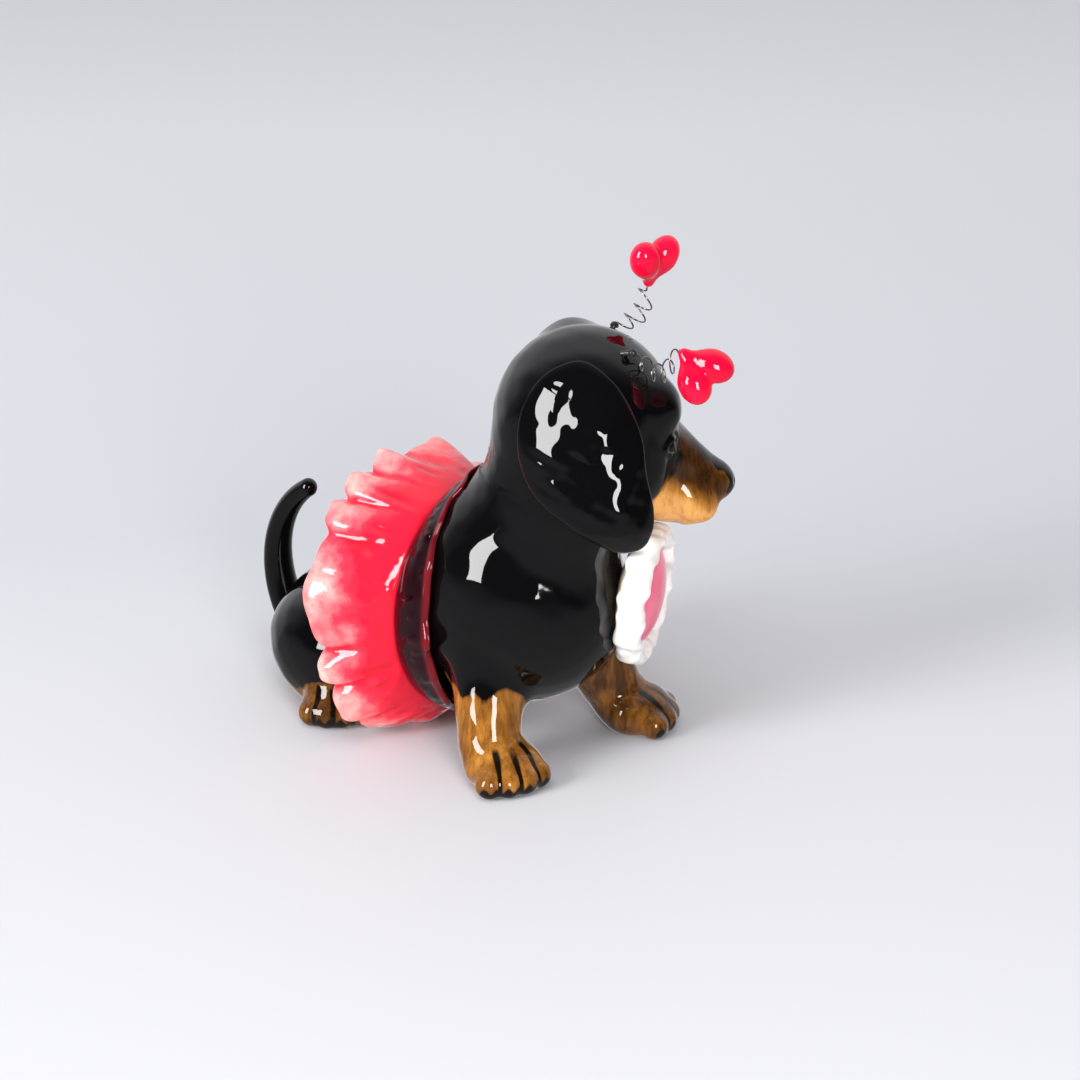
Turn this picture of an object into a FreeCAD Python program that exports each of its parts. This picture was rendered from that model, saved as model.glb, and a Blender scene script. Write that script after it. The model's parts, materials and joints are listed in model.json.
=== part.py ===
import FreeCAD, Part
import math
import os

from FreeCAD import Vector

# Glazed ceramic dachshund, sitting, in a ruffled skirt, with a plaque on its chest and two hearts
# on wire springs. Millimetres. The dog looks along -Y, its left is +X and +Z is up. The origin is
# on the floor, on the body's centreline, inside the flat seat under the rump.

doc = FreeCAD.newDocument("dachshund_figurine")
sheet = doc.addObject("Spreadsheet::Sheet", "Sizes")

# Rounded masses. Each row holds a centre x, y, z, three semi-axes along x, y, z and the
# turns yaw, pitch, roll in degrees. Right-hand members of a pair are given, the left mirrors them.
MASS_COLUMNS = ("x", "y", "z", "rx", "ry", "rz", "yaw", "pitch", "roll")
MASSES = {
    "chest": (0, -69, 48.5, 29, 31, 32, 0, 0, 0),
    "belly": (0, -43, 42, 29, 30, 32, 0, 0, 0),
    "rump": (0, -8, 20, 30, 34, 23, 0, 0, 0),
    "neck": (0, -80, 84, 20, 21, 26, 0, 0, 0),
    "withers": (0, -66, 63, 21, 20, 24, 0, 0, 0),
    "skull": (0, 0, 0, 26, 28, 28, 0, 0, 0),
    "muzzle": (0, -28.8, -19.5, 11.5, 19.5, 12, 0, 0, 40),
    "ear": (-26.4, 5, -2.5, 3.3, 19, 26.8, 3, 2, -2),
    "foreleg": (-20, -71, 25, 11, 11, 26, 0, 21, -27),
    "forepaw": (-29.5, -84.5, 6, 12, 14.5, 7.5, -25, 0, 0),
    "thigh": (-21, -3, 18, 12, 21, 18.5, -8, 0, 0),
    "hindpaw": (-27.5, -10, 6, 8.5, 12, 7.5, -50, 0, 0),
    "heart_lobe": (3.1, 0, 8.2, 5.2, 4.4, 8.4, 0, 24, 0),
}

# Frames that carry other pieces: an origin and the turns yaw, pitch, roll. The antenna and heart
# frames lie in the head's frame. An antenna's coil runs along +Z from its root at the origin, and
# a heart has its point at the origin and its notch on +Z.
FRAME_COLUMNS = ("x", "y", "z", "yaw", "pitch", "roll")
FRAMES = {
    "head": (7.4, -86, 107, 50, 0, 0),
    "plaque": (17.5, -100.5, 51, 22, 0, 7),
    "antenna_left": (13, -10.3, 22.2, -69.5, 47.4, 0),
    "antenna_right": (-13, -10.3, 22.2, -123.9, 79.3, 0),
    "heart_left": (17, -21, 32.9, -57.7, -3.2, 17.9),
    "heart_right": (-21.2, -22.4, 25, 99, 38.9, -151.3),
}

# Single sizes.
LENGTHS = {
    "wall": (4, "wall of the hollow castings"),
    "slip_line": (0.06, "film of slip between two pieces that are luted together"),
    "neck_top": (97, "height where the neck's collar ends inside the head"),
    "far_off": (200, "reach of the cutting blocks, past every part of the dog"),
    "vent_radius": (3, "vent through the seat that lets the kiln gases out"),
    "vent_y": (-17, "vent's centre, on the centreline"),
    "vent_depth": (20, "height of the vent's drill, from below the floor"),
    "tail_arc_y": (4.5, "centre of the tail's arc"),
    "tail_arc_z": (32.6, "centre of the tail's arc"),
    "tail_arc_radius": (32.8, "radius of the tail's arc"),
    "tail_start": (-44, "angle where the tail's arc leaves the rump"),
    "tail_end": (62, "angle of the tail's tip"),
    "tail_root_radius": (5.4, "tail's radius at the rump"),
    "tail_tip_radius": (2.6, "tail's radius at the tip"),
    "skirt_lobes": (16, "number of ruffles round the skirt"),
    "skirt_y": (-41.5, "skirt's waist, along the body"),
    "skirt_z": (42.5, "skirt's waist, height of its centre"),
    "skirt_waist_rx": (29.7, "skirt's waist, half width"),
    "skirt_waist_rz": (32.8, "skirt's waist, half height"),
    "skirt_rim_y": (-24, "skirt's rim, along the body"),
    "skirt_rim_rx": (46, "skirt's rim, half width"),
    "skirt_rim_rz": (40.1, "skirt's rim, half height"),
    "skirt_squareness": (3.2, "how square the skirt's lower half is, 2 being an ellipse"),
    "skirt_lean": (-10, "lean of the skirt's rim, top to the rear, in degrees"),
    "skirt_thickness": (7, "half the thickness of the skirt at its waist"),
    "skirt_taper": (0.45, "share of that thickness which is gone at the rim"),
    "skirt_wave": (2.2, "height of the skirt's ruffles"),
    "band_y": (-44.6, "waistband's rear edge"),
    "band_front_y": (-54, "waistband's front edge"),
    "band_z": (42.5, "waistband's centre at its rear edge"),
    "band_front_z": (47.2, "waistband's centre at its front edge"),
    "band_rx": (31, "waistband, half width"),
    "band_rz": (34.6, "waistband, half height"),
    "band_front_swell": (3.2, "how much wider the waistband's front edge is"),
    "band_bulge": (5, "how far the front edge reaches forward at the sides"),
    "band_thickness": (3.2, "waistband's thickness"),
    "band_wave": (0.5, "height of the waistband's ruffles"),
    "band_lobes": (22, "number of ruffles round the waistband"),
    "plaque_rx": (17, "plaque's backing, half width"),
    "plaque_rz": (19.5, "plaque's backing, half height"),
    "backing_thickness": (2.4, "plaque's backing slab"),
    "backing_front": (4.4, "how far the backing's front lies behind the plaque's frame"),
    "trim_rx": (16.5, "plaque's trim, half width to the middle of the roll"),
    "trim_rz": (19, "plaque's trim, half height to the middle of the roll"),
    "trim_width": (5.4, "width of the trim's roll across the plaque"),
    "trim_depth": (7.6, "depth of the trim's roll"),
    "trim_wave": (0.7, "height of the trim's ruffles"),
    "trim_lobes": (14, "number of ruffles round the trim"),
    "face_rx": (12.9, "plaque's domed face, half width"),
    "face_rz": (15.4, "plaque's domed face, half height"),
    "face_rise": (9.6, "rise of the plaque's domed face"),
    "wire_radius": (0.25, "radius of the spring wire"),
    "coil_radius": (2.5, "radius of the spring's coil to the wire's middle"),
    "coil_pitch": (2.7, "pitch of the spring's coil"),
    "coil_length_left": (11, "length of the left spring's coil"),
    "coil_length_right": (10.3, "length of the right spring's coil"),
    "lead_length": (1.5, "straight wire before and after the coil"),
    "bead_radius": (1.3, "bead of glue at the wire's root"),
    "plug_radius": (0.8, "glue plug in the wire's hole"),
    "plug_depth": (5, "depth of the glue plug, just past the wall"),
    "drill_depth": (8, "reach of the wire's drill, each way from the surface"),
}

SIDES = {"right": 1, "left": -1}
TORSO_MASSES = ("chest", "belly", "rump", "neck", "withers")
TAIL_STATIONS = 7
SLIP = "Sizes.slip_line"
LEVEL = "rotation(0; 0; 0)"


def fill_sheet():
    """Writes every size into the sheet, one row a mass, frame or length, and gives it its alias."""
    row = 0
    for title, columns, table in (("masses", MASS_COLUMNS, MASSES), ("frames", FRAME_COLUMNS, FRAMES)):
        row += 1
        sheet.set(f"A{row}", title)
        for name, values in table.items():
            row += 1
            sheet.set(f"A{row}", name)
            for letter, column, value in zip("BCDEFGHIJ", columns, values):
                sheet.set(f"{letter}{row}", str(value))
                sheet.setAlias(f"{letter}{row}", f"{name}_{column}")
    for name, (value, meaning) in LENGTHS.items():
        row += 1
        sheet.set(f"A{row}", meaning)
        sheet.set(f"B{row}", str(value))
        sheet.setAlias(f"B{row}", name)
    doc.recompute()


def size(alias):
    return float(sheet.get(alias))


def bind(item, **expressions):
    """Ties an object's properties to expressions over the sheet."""
    for name, expression in expressions.items():
        item.setExpression(name, expression)
    return item


def framed(name, side=1):
    """The placement of a frame as an expression; side -1 mirrors it to the other side."""
    s = f"Sizes.{name}_"
    return (f"placement(vector({side} * {s}x; {s}y; {s}z);"
            f" rotation({side} * {s}yaw; {side} * {s}pitch; {s}roll))")


def mass(row, side=0, frame=None, grow="0"):
    """One rounded mass as an ellipsoid, all its semi-axes longer by grow. A right-hand mass is
    turned half round, so that its seam lies on its outer side, as its left-hand twin's does."""
    item = doc.addObject("Part::Ellipsoid", f"mass_{row}")
    where = framed(row, side or 1)
    if side == 1:
        where = f"{where} * placement(vector(0; 0; 0); rotation(180; 0; 0))"
    if frame:
        where = f"{frame} * {where}"
    bind(item, Radius2=f"Sizes.{row}_rx + {grow}", Radius3=f"Sizes.{row}_ry + {grow}",
         Radius1=f"Sizes.{row}_rz + {grow}", Placement=where)
    item.Angle1, item.Angle2, item.Angle3 = -90, 90, 360
    return item


def joined(name, *pieces):
    item = doc.addObject("Part::MultiFuse", name)
    item.Shapes = list(pieces)
    return item


def cut(name, base, tool):
    item = doc.addObject("Part::Cut", name)
    item.Base, item.Tool = base, tool
    return item


def slab(name, low, high):
    """A block much wider than the dog, between two heights given as expressions."""
    item = doc.addObject("Part::Box", name)
    far = "Sizes.far_off"
    return bind(item, Length=f"2 * {far}", Width=f"2 * {far}", Height=f"({high}) - ({low})",
                Placement=f"placement(vector(-{far}; -{far}; {low}); {LEVEL})")


def up(height):
    """A placement straight up by a height given as an expression."""
    return f"placement(vector(0; 0; {height}); {LEVEL})"


def cylinder(name, radius, height, where):
    item = doc.addObject("Part::Cylinder", name)
    return bind(item, Radius=radius, Height=height, Placement=where)


def ring(name, profile, where, around=96, across=12):
    """A closed ruffled ring: one smooth skin over around x across poles, profile(turn, side), turn
    going round the ring and side round its section, both in radians."""
    poles = [[profile(2 * math.pi * i / around, 2 * math.pi * j / across) for j in range(across)]
             for i in range(around)]
    skin = Part.BSplineSurface()
    skin.buildFromPolesMultsKnots(poles, [1] * (around + 1), [1] * (across + 1),
                                  list(range(around + 1)), list(range(across + 1)), True, True, 3, 3)
    solid = Part.Solid(Part.Shell([skin.toShape()]))
    if solid.Volume < 0:
        solid.reverse()
    item = doc.addObject("Part::Feature", name)
    item.Shape = solid
    item.setExpression("Placement", where)
    return item


def skirt_profile(turn, side):
    """Section of the skirt: a long leaf from the waist out to a waved rim, thinner at the rim."""
    out = (1 - math.cos(side)) / 2
    wave = size("skirt_wave") * out ** 2 * math.sin(size("skirt_lobes") * turn)
    rx = size("skirt_waist_rx") + (size("skirt_rim_rx") - size("skirt_waist_rx")) * out + wave
    rz = size("skirt_waist_rz") + (size("skirt_rim_rz") - size("skirt_waist_rz")) * out + wave
    square = 2 / size("skirt_squareness") if math.sin(turn) < 0 else 1
    square = 1 + (square - 1) * out
    x = rx * math.copysign(abs(math.cos(turn)) ** square, math.cos(turn))
    z = rz * math.copysign(abs(math.sin(turn)) ** square, math.sin(turn))
    lean = math.tan(math.radians(-size("skirt_lean"))) * z * out
    y = (size("skirt_rim_y") - size("skirt_y")) * out + lean + wave
    y += size("skirt_thickness") * math.sin(side) * (1 - size("skirt_taper") * out)
    return Vector(x, y, z)


def band_profile(turn, side):
    """Section of the waistband: a flat strip from its rear edge to its waved front edge."""
    front = (1 - math.cos(side)) / 2
    wave = size("band_wave") * front * math.sin(size("band_lobes") * turn)
    swell = size("band_thickness") / 2 * math.sin(side) + wave
    rx = size("band_rx") + swell
    rz = size("band_rz") + swell + size("band_front_swell") * front
    y = (size("band_front_y") - size("band_y") - size("band_bulge") * math.cos(turn) ** 2) * front
    z = (size("band_front_z") - size("band_z")) * front
    return Vector(rx * math.cos(turn), y, rz * math.sin(turn) + z)


def trim_profile(turn, side):
    """Section of the plaque's trim: a plump roll with soft ruffles."""
    wave = size("trim_wave") * math.sin(size("trim_lobes") * turn)
    out = size("trim_width") / 2 * math.cos(side)
    deep = size("trim_depth") / 2 * math.sin(side)
    return Vector((size("trim_rx") + out + wave) * math.cos(turn), deep + wave / 2,
                  (size("trim_rz") + out + wave) * math.sin(turn))


fill_sheet()

HEAD = framed("head")
PLAQUE = framed("plaque")

floor = slab("floor", "-Sizes.far_off", "0")


def torso():
    """Chest, belly, rump and neck as one hollow casting, flat and vented under the seat."""
    outside = joined("torso_outside", *[mass(row) for row in TORSO_MASSES])
    cavity = joined("torso_cavity", *[mass(row, grow="-Sizes.wall") for row in TORSO_MASSES])
    seat = slab("seat_thickness", "-Sizes.far_off", "Sizes.wall")
    shell = cut("torso_hollow", outside, cut("torso_cavity_trimmed", cavity, seat))
    shell = cut("torso_seated", shell, floor)
    shell = cut("torso_collared", shell, slab("above_collar", "Sizes.neck_top", "Sizes.far_off"))
    vent = cylinder("vent", "Sizes.vent_radius", "Sizes.vent_depth",
                    f"placement(vector(0; Sizes.vent_y; -Sizes.wall); {LEVEL})")
    return cut("torso_shell", shell, vent)


def around_torso():
    """The torso's outside with a film of slip, which pieces luted to it are cut by."""
    return joined("torso_envelope", *[mass(row, grow=SLIP) for row in TORSO_MASSES])


def head():
    """Skull and muzzle as one hollow casting, open at the neck and drilled for the two wires."""
    outside = joined("head_outside", mass("skull", frame=HEAD), mass("muzzle", frame=HEAD))
    cavity = joined("head_cavity", mass("skull", frame=HEAD, grow="-Sizes.wall"),
                    mass("muzzle", frame=HEAD, grow="-Sizes.wall"))
    shell = cut("head_hollow", outside, cavity)
    shell = cut("head_necked", shell, mass("neck", grow=SLIP))
    drills = [cylinder(f"drill_{side}", f"Sizes.plug_radius + {SLIP}", "2 * Sizes.drill_depth",
                       f"{HEAD} * {framed('antenna_' + side)} * {up('-Sizes.drill_depth')}")
              for side in SIDES]
    return cut("head_shell", shell, joined("drills", *drills))


def tail():
    """A tapering tube along an arc, round at its tip."""
    rings = []
    for k in range(TAIL_STATIONS):
        share = k / (TAIL_STATIONS - 1)
        turn = f"(Sizes.tail_start + (Sizes.tail_end - Sizes.tail_start) * {share})"
        y = f"Sizes.tail_arc_y + Sizes.tail_arc_radius * cos({turn})"
        z = f"Sizes.tail_arc_z + Sizes.tail_arc_radius * sin({turn})"
        item = doc.addObject("Part::Circle", f"tail_section_{k}")
        bind(item, Placement=f"placement(vector(0; {y}; {z}); rotation(0; 0; {turn}))",
             Radius=f"Sizes.tail_root_radius * (1 - {share}) + Sizes.tail_tip_radius * {share}")
        rings.append(item)
    tube = doc.addObject("Part::Loft", "tail_tube")
    tube.Sections, tube.Solid = rings, True
    tip = doc.addObject("Part::Sphere", "tail_tip")
    bind(tip, Radius="Sizes.tail_tip_radius", Placement=f"{rings[-1].Name}.Placement")
    return joined("tail_whole", tube, tip)


def spring(side):
    """A helix of wire between two short leads that slant in to the antenna's axis."""
    frame = f"{HEAD} * {framed('antenna_' + side)}"
    length = f"Sizes.coil_length_{side}"
    start = f"{frame} * {up('Sizes.bead_radius + Sizes.lead_length')}"
    coil = doc.addObject("Part::Helix", f"coil_{side}")
    bind(coil, Pitch="Sizes.coil_pitch", Height=length, Radius="Sizes.coil_radius", Placement=start)
    section = doc.addObject("Part::Circle", f"wire_section_{side}")
    bind(section, Radius="Sizes.wire_radius",
         Placement=f"{start} * placement(vector(Sizes.coil_radius; 0; 0); rotation(0; 0; 90))")
    wire = doc.addObject("Part::Sweep", f"wire_{side}")
    wire.Sections, wire.Spine = [section], (coil, ["Edge1"])
    wire.Solid, wire.Frenet = True, True
    slant = "atan(Sizes.coil_radius / Sizes.lead_length)"
    reach = "sqrt(Sizes.coil_radius ^ 2 + Sizes.lead_length ^ 2)"
    low = cylinder(f"low_lead_{side}", "Sizes.wire_radius", reach,
                   f"{frame} * placement(vector(0; 0; Sizes.bead_radius + Sizes.wire_radius);"
                   f" rotation(0; {slant}; 0))")
    turns = f"({length} / Sizes.coil_pitch * 360)"
    high = cylinder(f"high_lead_{side}", "Sizes.wire_radius", reach,
                    f"{start} * placement(vector(Sizes.coil_radius * cos({turns});"
                    f" Sizes.coil_radius * sin({turns}); {length}); rotation({turns}; -{slant}; 0))")
    return joined(f"antenna_spring_{side}", wire, low, high)


def bead(side):
    """Glue that holds the wire: a plug in the drilled hole under a small bead."""
    frame = f"{HEAD} * {framed('antenna_' + side)}"
    ball = doc.addObject("Part::Sphere", f"bead_{side}")
    bind(ball, Radius="Sizes.bead_radius", Placement=frame)
    plug = cylinder(f"plug_{side}", "Sizes.plug_radius", "Sizes.plug_depth",
                    f"{frame} * {up('-Sizes.plug_depth')}")
    outside = cut(f"bead_above_{side}", ball, mass("skull", frame=HEAD, grow=SLIP))
    return joined(f"wire_anchor_{side}", outside, plug)


def heart(side):
    """Two plump lobes that share one point."""
    frame = f"{HEAD} * {framed('heart_' + side)}"
    return joined(f"heart_{side}", mass("heart_lobe", 1, frame), mass("heart_lobe", -1, frame))


def backing():
    """The plaque's flat slab, behind its trim and face."""
    outline = doc.addObject("Part::Ellipse", "backing_outline")
    bind(outline, MajorRadius="Sizes.plaque_rz", MinorRadius="Sizes.plaque_rx",
         Placement=f"{PLAQUE} * placement(vector(0; Sizes.backing_front; 0); rotation(0; -90; 90))")
    disc = doc.addObject("Part::Extrusion", "backing_slab")
    disc.Base, disc.DirMode, disc.Solid, disc.Reversed = outline, "Normal", True, False
    bind(disc, LengthFwd="Sizes.backing_thickness")
    return disc


def face():
    """The plaque's front: a shallow dome inside the trim, flat where it meets the slab."""
    dome = doc.addObject("Part::Ellipsoid", "face_dome")
    dome.Angle1, dome.Angle2, dome.Angle3 = -90, 90, 360
    behind = f"Sizes.backing_front - {SLIP}"
    bind(dome, Radius2="Sizes.face_rx", Radius3="Sizes.face_rise", Radius1="Sizes.face_rz",
         Placement=f"{PLAQUE} * placement(vector(0; {behind}; 0); {LEVEL})")
    back = doc.addObject("Part::Box", "face_back")
    far = "Sizes.far_off"
    bind(back, Length=f"2 * {far}", Width=far, Height=f"2 * {far}",
         Placement=f"{PLAQUE} * placement(vector(-{far}; {behind}; -{far}); {LEVEL})")
    return cut("face_half", dome, back)


def luted(name, piece, *tools):
    """A piece trimmed by what it is luted against."""
    for number, tool in enumerate(tools):
        piece = cut(f"{name}_trim_{number}", piece, tool)
    return piece


def build():
    """Makes every piece and returns the node names with their objects."""
    envelope = around_torso()
    skull = mass("skull", frame=HEAD, grow=SLIP)
    nodes = {"torso_shell": torso(), "head_shell": head()}
    for side, sign in SIDES.items():
        ear = mass("ear", sign, HEAD)
        nodes[f"ear_{side}"] = luted(f"ear_{side}", ear, skull)
        foreleg = joined(f"foreleg_{side}", mass("foreleg", sign), mass("forepaw", sign))
        nodes[f"front_leg_{side}"] = luted(f"front_leg_{side}", foreleg, envelope, floor)
        hindleg = joined(f"hindleg_{side}", mass("thigh", sign), mass("hindpaw", sign))
        nodes[f"hind_leg_{side}"] = luted(f"hind_leg_{side}", hindleg, envelope, floor)
        nodes[f"antenna_spring_{side}"] = spring(side)
        nodes[f"wire_anchor_{side}"] = bead(side)
        nodes[f"heart_{side}"] = heart(side)
    nodes["tail"] = luted("tail", tail(), envelope)
    skirt = ring("skirt", skirt_profile, f"placement(vector(0; Sizes.skirt_y; Sizes.skirt_z); {LEVEL})")
    nodes["tutu_frill"] = luted("tutu_frill", skirt, envelope)
    nodes["waistband"] = ring("band", band_profile,
                              f"placement(vector(0; Sizes.band_y; Sizes.band_z); {LEVEL})")
    nodes["plaque_back"] = luted("plaque_back", backing(), envelope)
    nodes["plaque_trim"] = ring("trim", trim_profile, PLAQUE)
    nodes["plaque_face"] = face()
    for label, item in nodes.items():
        item.Label = label
    return nodes


def check(nodes):
    """Stops if any object failed or any piece is empty or broken."""
    failed = [item.Name for item in doc.Objects if {"Invalid", "Error"} & set(item.State)]
    if failed:
        raise RuntimeError(f"failed objects: {failed}")
    for label, item in nodes.items():
        if item.Shape.isNull() or not item.Shape.isValid() or not item.Shape.Solids:
            raise RuntimeError(f"{label} has no sound shape")


NODES = build()
doc.recompute()
check(NODES)
os.makedirs("parts", exist_ok=True)
for label, item in NODES.items():
    item.Shape.exportStep(f"parts/{label}.step")
    print(f"{label}: {len(item.Shape.Solids)} solid, {item.Shape.Volume / 1000:.2f} cm3")
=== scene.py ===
import json
import math

import bpy
import numpy as np
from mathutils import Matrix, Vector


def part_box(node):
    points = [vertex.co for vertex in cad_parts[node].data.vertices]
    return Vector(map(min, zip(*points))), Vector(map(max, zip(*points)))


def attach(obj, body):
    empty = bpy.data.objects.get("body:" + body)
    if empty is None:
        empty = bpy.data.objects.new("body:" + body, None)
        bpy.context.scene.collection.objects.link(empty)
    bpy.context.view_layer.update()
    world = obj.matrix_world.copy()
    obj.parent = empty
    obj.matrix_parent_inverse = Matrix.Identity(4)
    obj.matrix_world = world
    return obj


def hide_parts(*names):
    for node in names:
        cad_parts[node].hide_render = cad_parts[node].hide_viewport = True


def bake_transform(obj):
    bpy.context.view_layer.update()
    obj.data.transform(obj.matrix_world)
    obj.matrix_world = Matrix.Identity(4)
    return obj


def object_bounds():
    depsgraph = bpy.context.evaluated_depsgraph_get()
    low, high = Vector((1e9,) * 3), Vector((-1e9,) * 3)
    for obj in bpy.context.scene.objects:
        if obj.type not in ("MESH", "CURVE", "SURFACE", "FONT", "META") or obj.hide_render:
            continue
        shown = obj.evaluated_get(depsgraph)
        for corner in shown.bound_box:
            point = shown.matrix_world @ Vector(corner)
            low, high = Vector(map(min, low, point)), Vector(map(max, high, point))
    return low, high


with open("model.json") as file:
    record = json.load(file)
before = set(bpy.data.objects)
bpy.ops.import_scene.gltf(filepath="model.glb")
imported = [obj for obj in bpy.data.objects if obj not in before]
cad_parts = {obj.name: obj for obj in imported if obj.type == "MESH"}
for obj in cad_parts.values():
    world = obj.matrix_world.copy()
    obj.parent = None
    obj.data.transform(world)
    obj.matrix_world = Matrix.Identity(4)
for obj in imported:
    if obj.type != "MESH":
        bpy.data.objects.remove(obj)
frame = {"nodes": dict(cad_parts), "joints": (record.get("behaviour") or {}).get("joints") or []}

import openvdb
from mathutils import Vector

# Glazed ceramic dachshund in a ruffled skirt. The glazed body is sculpted as one skin over the
# castings, out of rounded masses with soft seams; the other pieces are swept or lofted grids.
# Lengths are millimetres until a mesh is made, which is in metres like the frame.

CAD_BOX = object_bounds()
MM = 0.001
SIDES = {"right": -1, "left": 1}


# ---------------------------------------------------------------- places, from the frame

def turned(yaw=0.0, pitch=0.0, roll=0.0):
    """The rotation that turns by roll about X, then pitch about Y, then yaw about Z, in degrees."""
    (cy, sy), (cp, sp), (cr, sr) = [(math.cos(math.radians(a)), math.sin(math.radians(a)))
                                    for a in (yaw, pitch, roll)]
    about_z = np.array(((cy, -sy, 0), (sy, cy, 0), (0, 0, 1)))
    about_y = np.array(((cp, 0, sp), (0, 1, 0), (-sp, 0, cp)))
    about_x = np.array(((1, 0, 0), (0, cr, -sr), (0, sr, cr)))
    return about_z @ about_y @ about_x


class Place:
    """A frame of its own: an origin and the directions of its three axes, as columns."""

    def __init__(self, origin=(0, 0, 0), axes=None):
        self.origin = np.array(origin, float)
        self.axes = np.eye(3) if axes is None else np.array(axes, float)

    def out(self, points):
        return np.asarray(points, float) @ self.axes.T + self.origin

    def into(self, points):
        return (points - self.origin) @ self.axes

    def place(self, origin, yaw=0.0, pitch=0.0, roll=0.0):
        """A frame that is placed and turned inside this one."""
        return Place(self.out(origin), self.axes @ turned(yaw, pitch, roll))


def joint_point(name):
    joint = next(j for j in frame["joints"] if j["name"] == name)
    return np.array(joint["pos_m"]) / MM


def middle(node):
    low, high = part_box(node)
    return (np.array(low) + np.array(high)) / 2 / MM


WORLD = Place()
AHEAD = (0.766, 0.643)      # the level direction from the camera to the backdrop
# The head's frame has its origin in the middle of the skull. The two wires' roots are as far to
# its left as to its right, ROOT_AHEAD in front of the origin and ROOT_ABOVE over it.
ROOT_AHEAD, ROOT_ABOVE = 10.3, 22.2
roots = {side: joint_point(f"antenna_{side}_sway") for side in SIDES}
across = roots["left"] - roots["right"]
HEAD_YAW = math.degrees(math.atan2(across[1], across[0]))
HEAD = Place((roots["left"] + roots["right"]) / 2, turned(HEAD_YAW)).place((0, ROOT_AHEAD, -ROOT_ABOVE))
PLAQUE = Place(middle("plaque_trim"), turned(22, 0, 7))
SKIRT_WAIST = np.array((0, -41.5, middle("waistband")[2] - 4.0))


# ---------------------------------------------------------------- clay: masses with soft seams

VOXEL = 0.6
FAR = 9.0


def ellipsoid(place, centre, radii, yaw=0.0, pitch=0.0, roll=0.0):
    spot = place.place(centre, yaw, pitch, roll)
    radii = np.array(radii, float)
    reach = np.sqrt(((spot.axes * radii) ** 2).sum(axis=1))

    def distance(points):
        q = spot.into(points) / radii
        far = np.sqrt((q ** 2).sum(axis=-1))
        steep = np.sqrt(((q / radii) ** 2).sum(axis=-1)) + 1e-6
        return far * (far - 1) / steep
    return distance, spot.origin - reach, spot.origin + reach


def limb(place, start, end, thick, thin):
    """A tapered rod, round at both ends."""
    a, b = place.out(start), place.out(end)
    along = b - a

    def distance(points):
        share = np.clip((points - a) @ along / (along @ along), 0, 1)
        gap = points - a - share[..., None] * along
        return np.sqrt((gap ** 2).sum(axis=-1)) - thick - (thin - thick) * share
    widest = max(thick, thin)
    return distance, np.minimum(a, b) - widest, np.maximum(a, b) + widest


class Clay:
    """A solid built up from masses, each joined or carved with a seam of its own softness."""

    def __init__(self, floor=None):
        self.steps = []
        self.floor = floor

    def add(self, mass, soft=3.0, carve=False):
        self.steps.append((*mass, soft, carve))
        return mass[0]

    def distance(self, points):
        value = np.full(points.shape[:-1], FAR)
        for shape, low, high, soft, carve in self.steps:
            near = ((points > low - FAR) & (points < high + FAR)).all(axis=-1)
            value[near] = self.blended(value[near], shape(points[near]), soft, carve)
        return value if self.floor is None else np.maximum(value, self.floor - points[..., 2])

    @staticmethod
    def blended(value, other, soft, carve):
        if carve:
            seam = np.maximum(soft - np.abs(value + other), 0) / soft
            return np.maximum(value, -other) + seam ** 2 * soft / 4
        seam = np.maximum(soft - np.abs(value - other), 0) / soft
        return np.minimum(value, other) - seam ** 2 * soft / 4

    def slope(self, points, step=0.05):
        """The direction in which the distance grows fastest, from four samples round a point."""
        corners = np.array(((1, -1, -1), (-1, -1, 1), (-1, 1, -1), (1, 1, 1)))
        slope = sum(corner * self.distance(points + corner * step)[:, None] for corner in corners)
        return slope / (4 * step)

    def meshed(self, voxel=VOXEL, rounds=3):
        """Points and quads on the solid's surface, evened out and settled on it exactly."""
        solid = [s for s in self.steps if not s[4]]
        low = np.min([s[1] for s in solid], axis=0) - 3 * voxel
        high = np.max([s[2] for s in solid], axis=0) + 3 * voxel
        count = np.ceil((high - low) / voxel).astype(int)
        field = np.full(count, FAR, np.float32)
        for shape, first, last, soft, carve in self.steps:
            i0 = np.clip(np.floor((first - 3 - soft - low) / voxel).astype(int), 0, count)
            i1 = np.clip(np.ceil((last + 3 + soft - low) / voxel).astype(int), 0, count)
            block = tuple(slice(a, b) for a, b in zip(i0, i1))
            lines = [low[k] + voxel * np.arange(i0[k], i1[k]) for k in range(3)]
            points = np.stack(np.meshgrid(*lines, indexing="ij"), axis=-1)
            field[block] = self.blended(field[block], shape(points), soft, carve)
        if self.floor is not None:
            heights = low[2] + voxel * np.arange(count[2])
            field = np.maximum(field, (self.floor - heights).astype(np.float32))
        grid = openvdb.FloatGrid(FAR)
        grid.copyFromArray(field)
        points, quads = grid.convertToQuads(0.0)
        points = points.astype(float) * voxel + low
        for _ in range(rounds):
            points = evened(points, quads)
            for _ in range(2):
                slope = self.slope(points)
                steep = np.maximum((slope ** 2).sum(axis=1), 0.2)
                points = points - slope * (self.distance(points) / steep)[:, None]
        return points, quads


def evened(points, quads, share=0.5):
    """Every point moved part of the way to the middle of its neighbours."""
    first, second = quads.ravel(), np.roll(quads, -1, axis=1).ravel()
    ends, others = np.concatenate((first, second)), np.concatenate((second, first))
    count = np.bincount(ends, minlength=len(points))
    total = np.stack([np.bincount(ends, points[others, k], len(points)) for k in range(3)], axis=1)
    return points + share * (total / count[:, None] - points)


# ---------------------------------------------------------------- meshes

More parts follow.
